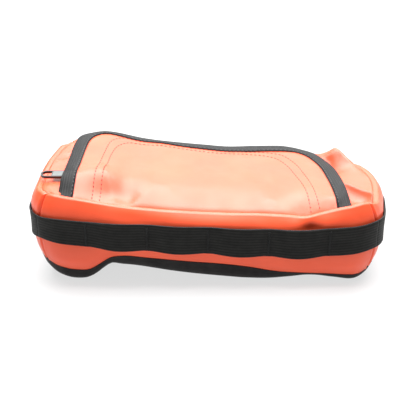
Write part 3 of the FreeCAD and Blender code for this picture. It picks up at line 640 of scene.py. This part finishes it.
def outline_path(inset, step=2.0):
    """The lid's edge in plan, moved inwards: from the front left, round the back, to the front right."""
    p = np.r_[smooth_path(LEFT_EDGE, 90), smooth_path(RIGHT_EDGE, 90)[::-1]]
    along = np.r_[0, np.cumsum(np.linalg.norm(np.diff(p, axis=0), axis=-1))]
    t = np.linspace(0, along[-1], int(along[-1] / step))
    p = np.c_[np.interp(t, along, p[:, 0]), np.interp(t, along, p[:, 1])]
    for _ in range(6):
        p[1:-1] = (p[:-2] + 2 * p[1:-1] + p[2:]) / 4
    way = np.gradient(p, axis=0)
    way /= np.linalg.norm(way, axis=-1, keepdims=True)
    inward = np.c_[way[:, 1], -way[:, 0]]
    moved = p + inward * inset
    if inset > 6:
        for _ in range(int(inset * 6)):
            moved[1:-1] = (moved[:-2] + 2 * moved[1:-1] + moved[2:]) / 4
    return moved


def on_lid(plan):
    return np.c_[plan, lid_surface(plan[:, 0], plan[:, 1])]


def lid_normals(plan):
    d = 0.5
    x, y = plan[:, 0], plan[:, 1]
    gx = (lid_surface(x + d, y) - lid_surface(x - d, y)) / (2 * d)
    gy = (lid_surface(x, y + d) - lid_surface(x, y - d)) / (2 * d)
    n = np.c_[-gx, -gy, np.ones_like(gx)]
    return n / np.linalg.norm(n, axis=-1, keepdims=True)


def bend_with_lid(piece):
    """Bakes the piece's placing into its points; nothing is bent."""
    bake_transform(piece)


def lid_skin():
    plan = lid_plan(110, 64, 0.6)
    x, y = plan[..., 0], plan[..., 1]
    return sheet("lid_skin", np.stack([x, y, lid_surface(x, y) - front_tuck(y)], -1), ORANGE)


lid = lid_skin()
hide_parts("lid_panel")
bend_with_lid(lid)

# the binding is one tape folded round the edge, above, round the rim, and below: inset from the edge, lift
BINDING_WIDTH = 11.6
BINDING_PROFILE = [
    (BINDING_WIDTH, 0.15), (BINDING_WIDTH, 0.75), (8, 0.85), (4, 0.85), (1.2, 0.8), (0.1, 0.45),
    (-0.35, -0.3), (0.0, -1.2), (1.2, -1.75), (5, -1.8), (11.2, -1.75), (11.2, -1.2), (5, -1.25),
    (1.0, -1.2), (0.9, 0.0), (4, 0.15)]


def lid_binding():
    """Each profile point sits at its own inset from the edge, on the lid's surface there."""
    edge, inner = outline_path(0.0), outline_path(BINDING_WIDTH)
    columns = []
    for inset, lift in BINDING_PROFILE:
        path = edge + (inner - edge) * (inset / BINDING_WIDTH)
        base = on_lid(path)
        base[:, 2] -= front_tuck(path[:, 1])
        columns.append(base + lid_normals(path) * lift)
    p = np.stack(columns, 1)
    nu, nv = p.shape[:2]
    faces = [(i * nv + j, i * nv + (j + 1) % nv, (i + 1) * nv + (j + 1) % nv, (i + 1) * nv + j)
             for i in range(nu - 1) for j in range(nv)]
    faces += [tuple(range(nv))[::-1], tuple(range((nu - 1) * nv, nu * nv))]
    return link("lid_binding_tape", p.reshape(-1, 3), faces, BINDING, grid_uv(p).reshape(-1, 2))


binding = lid_binding()
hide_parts("lid_binding")
bend_with_lid(binding)

OUTER_ROW = [(-90.5, -55), (-90, -35), (-88.5, -10), (-87, 10), (-83, 32), (-75.5, 41.5), (-62, 43.2),
             (0, 43.4), (38, 43.2), (54, 41), (64, 35.5), (73, 21), (81, -8), (84.7, -30), (87.5, -55)]
INNER_ROW = [(-84.5, -55), (-84, -35), (-82.5, -10), (-81, 10), (-77, 26), (-69, 35.5), (-56, 37.8),
             (0, 38.2), (34, 37.8), (48, 35), (58, 29), (67, 14), (74, -10), (78.4, -30), (81, -55)]


def lid_row(name, plan, lift, thread):
    """A row of stitches on the lid."""
    up = lid_normals(plan)
    row = stitches(name, on_lid(plan) + up * lift, up, thread)
    bend_with_lid(row)


lid_row("lid_stitching_outer", smooth_path(OUTER_ROW, 260), -0.06, THREAD_ORANGE_PAINTED_SHADE)
lid_row("lid_stitching_inner", smooth_path(INNER_ROW, 260), -0.06, THREAD_ORANGE_PAINTED_SHADE)
binding_seam = outline_path(10.2)
lid_row("binding_stitching", binding_seam[binding_seam[:, 1] > -56], 0.8, THREAD_GREY)


# inset from the lid's edge, depth, and the surface that the depth is measured from
FACING_PROFILE = [
    (30.5, 1.9, lid_surface), (24, 1.9, lid_surface), (18.5, 1.9, lid_surface), (16.9, 2.3, lid_surface),
    (16.2, 3.6, lid_surface), (16.0, 6.2, cad_surface), (15.9, 7.7, cad_surface)]


def zip_facing():
    """The strip under the lid that carries its half of the zip: flat under the lid, then down to the tape."""
    columns = []
    for inset, depth, surface in FACING_PROFILE:
        path = outline_path(inset)
        columns.append(np.c_[path, surface(path[:, 0], path[:, 1]) - depth])
    p = np.stack(columns, 1)
    return sheet("zip_facing_skin", p[p[:, :, 1].min(1) > -53], ORANGE, 0.9, False, -1)


facing = zip_facing()
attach(facing, "lid")
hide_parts("lid_zip_facing")

# ------------------------------------------------------------------ zip

def zip_line(inset, depth):
    """A line along the zip, at an inset from the lid's edge and a depth under the surface S."""
    path = outline_path(inset)
    path = path[path[:, 1] > -52]
    return np.c_[path, cad_surface(path[:, 0], path[:, 1]) - depth]


def zip_tape(name, near, far, depth):
    columns = [zip_line(near + (far - near) * f, depth) for f in (0, 0.25, 0.5, 0.75, 1)]
    count = min(len(c) for c in columns)
    columns = [c[np.linspace(0, len(c) - 1, count).round().astype(int)] for c in columns]
    return sheet(name, np.stack(columns, 1), TAPE, 0.5, False, -1)


COIL_PITCH, COIL_RADIUS, COIL_WIRE = 1.6, 1.05, 0.36
TURN_STEPS, WIRE_SIDES = 9, 5
TAPE_DEPTH, COIL_DEPTH = 7.65, 7.4                      # under the surface S


def zip_coil(name, inset, depth):
    """A coil of nylon wire sewn along the tape."""
    line = zip_line(inset, depth)
    along = np.r_[0, np.cumsum(np.linalg.norm(np.diff(line, axis=0), axis=-1))]
    t = np.linspace(0, along[-1], int(along[-1] / COIL_PITCH * TURN_STEPS))
    centre = np.stack([np.interp(t, along, line[:, k]) for k in range(3)], -1)
    way = np.gradient(centre, axis=0)
    way /= np.linalg.norm(way, axis=-1, keepdims=True)
    side = np.cross(way, (0, 0, 1.0))
    side /= np.linalg.norm(side, axis=-1, keepdims=True)
    turn = (t / COIL_PITCH * 2 * math.pi)[:, None]
    path = centre + COIL_RADIUS * (np.cos(turn) * side + 0.9 * np.sin(turn) * np.cross(side, way))
    tangent = np.gradient(path, axis=0)
    tangent /= np.linalg.norm(tangent, axis=-1, keepdims=True)
    first = np.cross(tangent, way)
    first /= np.linalg.norm(first, axis=-1, keepdims=True)
    second = np.cross(tangent, first)
    angles = np.arange(WIRE_SIDES) * 2 * math.pi / WIRE_SIDES
    round_wire = [(COIL_WIRE * math.cos(a), COIL_WIRE * math.sin(a)) for a in angles]
    return sweep(name, path, (first, second), round_wire, NYLON_COIL)


# each half of the zip: its body, and the insets of its tape's two edges and of its coil
for body, near, far, coil_inset in (("bag", 1.5, 7.3, 7.2), ("lid", 10.0, 16.2, 10.8)):
    for piece, slot in ((zip_tape("zip_tape_%s_weave" % body, near, far, TAPE_DEPTH), "zip_tape"),
                        (zip_coil("zip_coil_%s_turns" % body, coil_inset, COIL_DEPTH), "zip_coil")):
        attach(piece, body)
        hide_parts("%s_%s" % (slot, body))

# ------------------------------------------------------------------ top panel round the lid

strip_height = thin_plate(
    # the left end
    [(-137, -30, 72.6), (-136, -22, 72.2), (-136, -10, 74), (-135, 0, 76.2), (-133, 9, 77), (-131, 18, 77.6),
     (-124, 34, 78.2), (-119, 44, 79)]
    + [(-126, -22, 72), (-118, -22, 71.8), (-126, -13, 73.2), (-126, -31, 72.6), (-118, -34, 73),
       (-118, -12, 73.2), (-124, 2, 75.6), (-118, 6, 75.6), (-117, 25, 77.6), (-124, -50, 73.8),
       (-118, -55, 73.6), (-131, -56, 74.4)]
    # the back
    + [(-110, 60, 80), (-80, 61, 78.6), (-45, 61, 73), (0, 61, 67.8), (45, 61, 66.8), (80, 60, 66)]
    # the folded ear at the right back corner
    + [(106, 36, 64.5), (98, 54, 65), (107, 50, 68), (113, 46, 72), (118, 41, 71.4), (124, 44, 66.5),
       (112, 57, 63), (131, 28, 66), (112, 28, 62), (113, 2, 60.5)]
    # the right end and its valley
    + [(125, -5, 59.5), (137, -12, 59.5), (137, 8, 61), (114, -14, 54), (126, -22, 52), (135, -30, 54),
       (118, -34, 53), (130, -40, 56), (123, -50, 59), (134, -56, 65), (118, -57, 63)], 0.002)

# folds of the top panel: height, start, end, width
STRIP_CREASES = [
    (1.0, (-136, -4), (-116, 14), 3.0), (-2.0, (-130, 8), (-117, 24), 3.0), (4.0, (143, -25), (109, 0), 3.2),
    (-2.6, (106, 42), (113, 14), 2.6), (2.2, (104, 60), (127, 26), 2.6), (-1.2, (116, 56), (128, 38), 2.2),
    (1.2, (112, -52), (136, -44), 3.0)]


def strip_surface(x, y):
    z = strip_height(x, y)
    for height, start, end, width in STRIP_CREASES:
        z = z + height * crease(x, y, start, end, width)
    return z + 0.3 * ripple(x, y, 30, 21)


def top_skin():
    """From the groove behind the walls' top edge to the edge of the opening, under the lid."""
    # matching places on the ring and on the lid's edge, from the front left round the back to the front right
    knots_out = [HALF_LENGTH - 119 + RING, RING,
                 4 * HALF_LENGTH + 3 * HALF_DEPTH, 4 * HALF_LENGTH + 2 * HALF_DEPTH,
                 3 * HALF_LENGTH + 2 * HALF_DEPTH, 2 * HALF_LENGTH + 2 * HALF_DEPTH,
                 2 * HALF_LENGTH + HALF_DEPTH, 2 * HALF_LENGTH, HALF_LENGTH + 116]
    inner_path = outline_path(2.2)
    along = np.r_[0, np.cumsum(np.linalg.norm(np.diff(inner_path, axis=0), axis=-1))]
    total = along[-1]
    knots_in = np.array([0, 12, 66, 125, total / 2, total - 125, total - 66, total - 12, total])
    t = np.linspace(0, len(knots_in) - 1, 330)
    s = np.interp(t, range(len(knots_in)), knots_out)
    d = np.interp(t, range(len(knots_in)), knots_in)
    rim = wall_point(s, np.ones_like(s), 4.9, 1.9 * groove_depth(np.mod(s, RING)) - 0.3)
    ix, iy = np.interp(d, along, inner_path[:, 0]), np.interp(d, along, inner_path[:, 1])
    rows = []
    for w in np.r_[0, 0.03, 0.07, np.linspace(0.12, 1, 20)]:
        x, y = rim[:, 0] * (1 - w) + ix * w, rim[:, 1] * (1 - w) + iy * w
        z = strip_surface(x, y)
        ease = np.clip(1 - w / 0.3, 0, 1) ** 2
        z = z * (1 - ease) + np.minimum(z + 2, rim[:, 2]) * ease
        low = cad_surface(x, y) - 4.8 - 2.2 * bump(x, y, (-113, -5), (15, 45))
        fall = np.clip((w - 0.55) / 0.45, 0, 1) ** 2
        rows.append(np.stack([x, y, z * (1 - fall) + low * fall], -1))
    return sheet("top_panel_skin", np.stack(rows, 1), ORANGE, 1.0, False, -1)


piece = top_skin()
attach(piece, "bag")
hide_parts("top_panel")

# ------------------------------------------------------------------ webbing and bar tacks

WEB_TOP = round_ring(
    front=[(-137, 59), (-117, 59.6), (-94, 57.6), (-70, 56.4), (-47, 55.2), (0, 53), (47, 51.4), (70, 51),
           (94, 51.8), (112, 53.2), (134, 54.6)],
    right=[(-50, 54), (-20, 52), (10, 50.5), (50, 50)],
    back=[(110, 50.5), (40, 53), (-40, 56), (-110, 58)],
    left=[(50, 59), (0, 59), (-50, 59)])
WEB_LOW = round_ring(
    front=[(-137, 40), (-113, 38.6), (-94, 36.6), (-70, 33.8), (-47, 32.4), (0, 30), (47, 27.6), (70, 27),
           (94, 28), (134, 31)],
    right=[(-50, 30), (0, 27), (50, 26)],
    back=[(110, 26), (40, 28.5), (-40, 31), (-110, 33)],
    left=[(50, 35), (0, 36), (-50, 37)])
LOOP = 47                                               # from one bar tack to the next
LONG_SIDE_TACKS = [-2 * LOOP, -LOOP, 0, LOOP, 2 * LOOP]
END_TACKS = [-LOOP / 2, LOOP / 2]
TACK_PLACES = ([HALF_LENGTH + x for x in LONG_SIDE_TACKS]
               + [2 * HALF_LENGTH + HALF_DEPTH + y for y in END_TACKS]
               + [3 * HALF_LENGTH + 2 * HALF_DEPTH + x for x in LONG_SIDE_TACKS]
               + [4 * HALF_LENGTH + 3 * HALF_DEPTH + y for y in END_TACKS])
LOOP_RISE, END_LOOP_RISE = 4.0, 1.6
WEBBING_PROFILE = [(0, 0.3), (0.015, 1.1), (0.05, 1.45), (0.12, 1.5), (0.3, 1.5), (0.5, 1.5), (0.7, 1.5),
                   (0.88, 1.5), (0.95, 1.45), (0.985, 1.1), (1, 0.3)]         # place across it, how far out


def web_rise(s):
    """How far the webbing stands off the wall: nothing at a tack, most in the middle of a loop."""
    rise = np.zeros_like(s)
    for a, b in zip(TACK_PLACES, TACK_PLACES[1:]):
        if b - a == LOOP:
            f = np.clip((s - a - 3) / (b - a - 6), 0, 1)
            on_end = a % (RING / 2) > 2 * HALF_LENGTH
            rise = rise + (END_LOOP_RISE if on_end else LOOP_RISE) * np.sin(math.pi * f) ** 1.2
    return rise


def wall_stand(s, z):
    """How far out the wall is behind the webbing; the webbing bridges the hollows."""
    v = (z - BASE_SEAM(s)) / (TOP_SEAM(s) - BASE_SEAM(s))
    return np.maximum(WALL_OUT(v) + wall_dents(s, z) + swell(s, v), 0)


def web_point(s, w, out):
    """A place on the webbing; w runs across it, from its lower edge to its upper one."""
    low, high = WEB_LOW(s), WEB_TOP(s)
    z = low + (high - low) * w
    x, y, nx, ny = ring(s)
    stand = 0.3 + wall_stand(s, z) + web_rise(s) * (1 - 0.6 * w) + out + 0.36 * (2 * w - 1) ** 2
    return np.stack([x + nx * stand, y + ny * stand, z], -1)


def webbing_strip(name, start, end):
    s = np.linspace(start, end, int((end - start) / 1.6))
    rows = [web_point(s, np.full_like(s, w), out) for w, out in WEBBING_PROFILE]
    return sheet(name, np.stack(rows, 1), WEBBING, 1.3)


def selvedge(name, start, end):
    """The tight edge threads along the webbing's upper edge, as short stitches in a row."""
    s = np.linspace(start, end, int((end - start) / 2))
    path = web_point(s, np.full_like(s, 0.995), 0.95)
    up = np.broadcast_to(np.array([0, 0, 1.0]), path.shape)
    return stitches(name, path, up, THREAD_GREY, 1.1, 0.5, 0.16, 0.0)


WEBBINGS = ("front_webbing", "right_end_webbing", "back_webbing", "left_end_webbing")
for name, start, end in zip(WEBBINGS, CORNERS, CORNERS[1:]):
    piece = webbing_strip(name + "_weave", start, end)
    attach(piece, "bag")
    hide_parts(name)
    piece = selvedge(name + "_selvedge", start, end)
    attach(piece, "bag")


TACK_TURNS, TACK_HALF_WIDTH, TACK_LOW, TACK_SPAN = 34, 1.0, 0.1, 0.8
THREAD_RADIUS, THREAD_SIDES = 0.28, 5


def tack_threads():
    """A bar tack is a dense zigzag of thread across the webbing."""
    vertices, faces = [], []
    for place in TACK_PLACES:
        for k in range(TACK_TURNS):
            w = TACK_LOW + TACK_SPAN * k / TACK_TURNS
            sway = TACK_HALF_WIDTH if k % 2 else -TACK_HALF_WIDTH
            ends = [web_point(np.array([place - sway]), np.array([w]), 1.62)[0],
                    web_point(np.array([place + sway]), np.array([w + TACK_SPAN / TACK_TURNS]), 1.62)[0]]
            way = ends[1] - ends[0]
            _, _, nx, ny = ring(np.array([place]))
            out = np.array([nx[0], ny[0], 0])
            side = np.cross(way, out)
            side /= np.linalg.norm(side)
            first = len(vertices)
            second = first + THREAD_SIDES
            for end in ends:
                for a in range(THREAD_SIDES):
                    angle = 2 * math.pi * a / THREAD_SIDES
                    vertices.append(end + THREAD_RADIUS * (math.cos(angle) * side + math.sin(angle) * out))
            for a in range(THREAD_SIDES):
                b = (a + 1) % THREAD_SIDES
                faces.append((first + a, first + b, second + b, second + a))
            faces += [tuple(range(first, second))[::-1], tuple(range(second, second + THREAD_SIDES))]
    return link("bar_tack_threads", vertices, faces, THREAD_BLACK)


piece = tack_threads()
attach(piece, "bag")
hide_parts("bar_tacks")

# ------------------------------------------------------------------ CAD nodes that stay

KEPT = {"zip_top_stop_bag": ENAMEL, "zip_top_stop_lid": ENAMEL, "zip_bottom_stop": ENAMEL,
        "slider_body": ENAMEL, "slider_bail": ENAMEL, "puller_link": ENAMEL,
        "puller_frame": RUBBER, "puller_insert": PLATE}
for name, look in KEPT.items():
    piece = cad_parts[name]
    piece.data.materials.clear()
    piece.data.materials.append(look)

# ------------------------------------------------------------------ stage, light and camera

def floor():
    made, _, shader = material("pale_floor", (0.2, 0.2, 0.2), 0.9, 0.1)
    shader.inputs["Emission Color"].default_value = (1, 1, 1, 1)
    shader.inputs["Emission Strength"].default_value = 0.68
    half = 4000
    corners = [(-half, -half, 0), (half, -half, 0), (half, half, 0), (-half, half, 0)]
    piece = link("floor", corners, [(0, 1, 2, 3)], made)


def area_light(name, place, target, size, power):
    lamp = bpy.data.lights.new(name, "AREA")
    lamp.shape = "RECTANGLE"
    lamp.size, lamp.size_y = size
    lamp.energy = power
    piece = bpy.data.objects.new(name, lamp)
    piece.location = place
    piece.rotation_euler = (Vector(target) - Vector(place)).to_track_quat("-Z", "Y").to_euler()
    bpy.context.scene.collection.objects.link(piece)


def studio():
    world = bpy.data.worlds.new("studio_world")
    world.use_nodes = True
    world.node_tree.nodes["Background"].inputs["Color"].default_value = (1, 1, 1, 1)
    world.node_tree.nodes["Background"].inputs["Strength"].default_value = 0.23
    bpy.context.scene.world = world
    bpy.context.scene.view_settings.view_transform = "Standard"
    area_light("top_softbox", (0.0, 0.75, 2.6), (0, 0.1, 0.05), (3.2, 2.4), 300)
    area_light("back_softbox", (0.3, 1.5, 0.9), (0, 0, 0.05), (2.2, 0.9), 22)
    area_light("front_fill", (-0.5, -1.3, 0.6), (0, 0, 0.04), (1.2, 0.8), 1.0)


VIEW_DISTANCE, VIEW_TILT, VIEW_AIM = 650 * MM, math.radians(25), Vector((0, 0, 0.036))
SENSOR, FOCAL_RATIO = 36, 756 / 416                     # sensor width, and focal length over it


def camera():
    data = bpy.data.cameras.new("camera")
    data.sensor_width = SENSOR
    data.lens = FOCAL_RATIO * SENSOR
    piece = bpy.data.objects.new("camera", data)
    piece.location = VIEW_AIM + VIEW_DISTANCE * Vector((0, -math.cos(VIEW_TILT), math.sin(VIEW_TILT)))
    piece.rotation_euler = (VIEW_AIM - piece.location).to_track_quat("-Z", "Y").to_euler()
    bpy.context.scene.collection.objects.link(piece)
    bpy.context.scene.camera = piece


floor()
studio()
camera()
